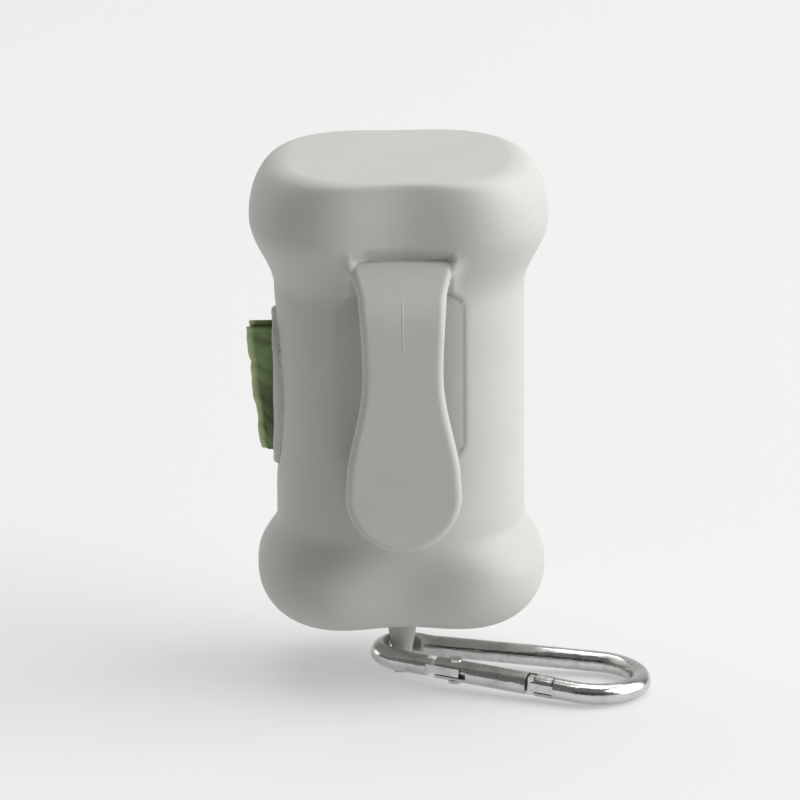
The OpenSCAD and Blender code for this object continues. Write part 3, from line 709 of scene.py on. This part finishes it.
studio = {
    "floor": (0.40, 0.40, 0.398, 1), "shade": 0.985, "glow": 0.37, "world": 0.18,
    "key": 80, "keySide": 83, "keyUp": 30, "keyFar": 2200, "keySize": 2.6,
    "left": 8, "leftPlace": (-2.2, 1.1, 0.7), "leftSize": 1.2,
    "top": 29, "topPlace": (0, 0.5, 2.2), "topSize": 2.0,
    "elevation": 16.0, "azimuth": -1.2, "roll": -0.45, "distance": 900.0, "lens": 227.0,
    "target": (0.0, 0.0, 50.0),
}
floorShape = {"front": -3000, "back": 2600, "half": 3500, "bendR": 900, "wallH": 2600,
              "rows": 60, "columns": 30}


def stageFloor():
    # a floor a few metres wide that curves up to a wall behind: flat for 0.6 of its length, a quarter
    # arc for the next 0.25, and upright for the last 0.15
    f = floorShape
    s = np.linspace(0, 1, f["rows"])
    bend = np.pi / 2 * np.clip((s - 0.6) / 0.25, 0, 1)
    y = np.where(s < 0.6, mix(f["front"], f["back"], s / 0.6), f["back"] + f["bendR"] * np.sin(bend))
    z = np.where(s < 0.6, 0, f["bendR"] * (1 - np.cos(bend)))
    z = z + np.where(s > 0.85, (s - 0.85) / 0.15 * f["wallH"], 0)
    x = np.linspace(-f["half"], f["half"], f["columns"])
    points = np.stack([np.repeat(x, len(s)), np.tile(y, len(x)), np.tile(z, len(x))], axis=1)
    i, j = np.meshgrid(np.arange(len(x) - 1), np.arange(len(s) - 1), indexing="ij")
    a = (i * len(s) + j).ravel()
    return points, np.stack([a, a + len(s), a + len(s) + 1, a + 1], axis=1)


floor = addObject("studioFloor", *stageFloor())
# the floor's emission is painted light: it glows evenly, which thins the shadows cast on it
floorPaint, floorShader, floorPlace, _ = newMaterial("floorPaint", {
    "Roughness": 0.9, "Specular IOR Level": 0.1,
    "Emission Color": (1, 1, 0.995, 1), "Emission Strength": studio["glow"]})
floorDull = tuple(c * studio["shade"] for c in studio["floor"][:3]) + (1,)
feed(floorShader, color=noise(floorPlace, 3, 2).tint(studio["floor"], floorDull))
paint(floor, floorPaint)

world = bpy.data.worlds.new("studioAir")
bpy.context.scene.world = world
world.use_nodes = True
air = world.node_tree.nodes["Background"]
air.inputs["Color"].default_value = (1.0, 1.0, 1.0, 1)
air.inputs["Strength"].default_value = studio["world"]


def addLamp(name, place, aim, power, size):
    # a square lamp that faces the aim
    data = bpy.data.lights.new(name, "AREA")
    data.energy = power
    data.size = size
    lamp = bpy.data.objects.new(name, data)
    bpy.context.scene.collection.objects.link(lamp)
    lamp.location = place
    lamp.rotation_euler = (Vector(aim) - Vector(place)).to_track_quat("-Z", "Y").to_euler()


# the key is a broad window on the right, a little to the front; keySide is its angle from the front
side, lift = math.radians(studio["keySide"]), math.radians(studio["keyUp"])
keyWay = Vector((math.sin(side) * math.cos(lift), -math.cos(side) * math.cos(lift), math.sin(lift)))
addLamp("keyWindow", keyWay * studio["keyFar"] * 0.001, (0, 0, 0.05), studio["key"], studio["keySize"])
addLamp("leftFill", studio["leftPlace"], (0, 0, 0.05), studio["left"], studio["leftSize"])
addLamp("softTop", studio["topPlace"], (0, 0, 0), studio["top"], studio["topSize"])

# a dark board in front, which the steel and the front of the sleeve face
boardCorners = [(-1600, -2000, 0), (1100, -2000, 0), (1100, -2300, 1500), (-1600, -2300, 1500)]
board = addObject("frontBoard", np.array(boardCorners, float), np.array([[0, 1, 2, 3]]))
boardPaint, boardShader, boardPlace, _ = newMaterial("frontBoardPaint", {"Roughness": 1.0})
feed(boardShader, color=noise(boardPlace, 2, 1).tint((0.03, 0.03, 0.03, 1), (0.04, 0.04, 0.04, 1)))
paint(board, boardPaint)

scene = bpy.context.scene
scene.view_settings.view_transform = "Standard"
lens = bpy.data.cameras.new("lookingCamera")
lens.lens = studio["lens"]
lens.sensor_width = 36
lens.clip_end = 20
camera = bpy.data.objects.new("lookingCamera", lens)
scene.collection.objects.link(camera)
up, turn = math.radians(studio["elevation"]), math.radians(studio["azimuth"])
target = Vector(studio["target"]) * 0.001
away = Vector((math.sin(turn) * math.cos(up), -math.cos(turn) * math.cos(up), math.sin(up)))
camera.location = target + away * studio["distance"] * 0.001
roll = Matrix.Rotation(math.radians(studio["roll"]), 3, "Z").to_quaternion()
camera.rotation_euler = ((-away).to_track_quat("-Z", "Y") @ roll).to_euler()
scene.camera = camera
print("stage done")

bpy.context.view_layer.update()
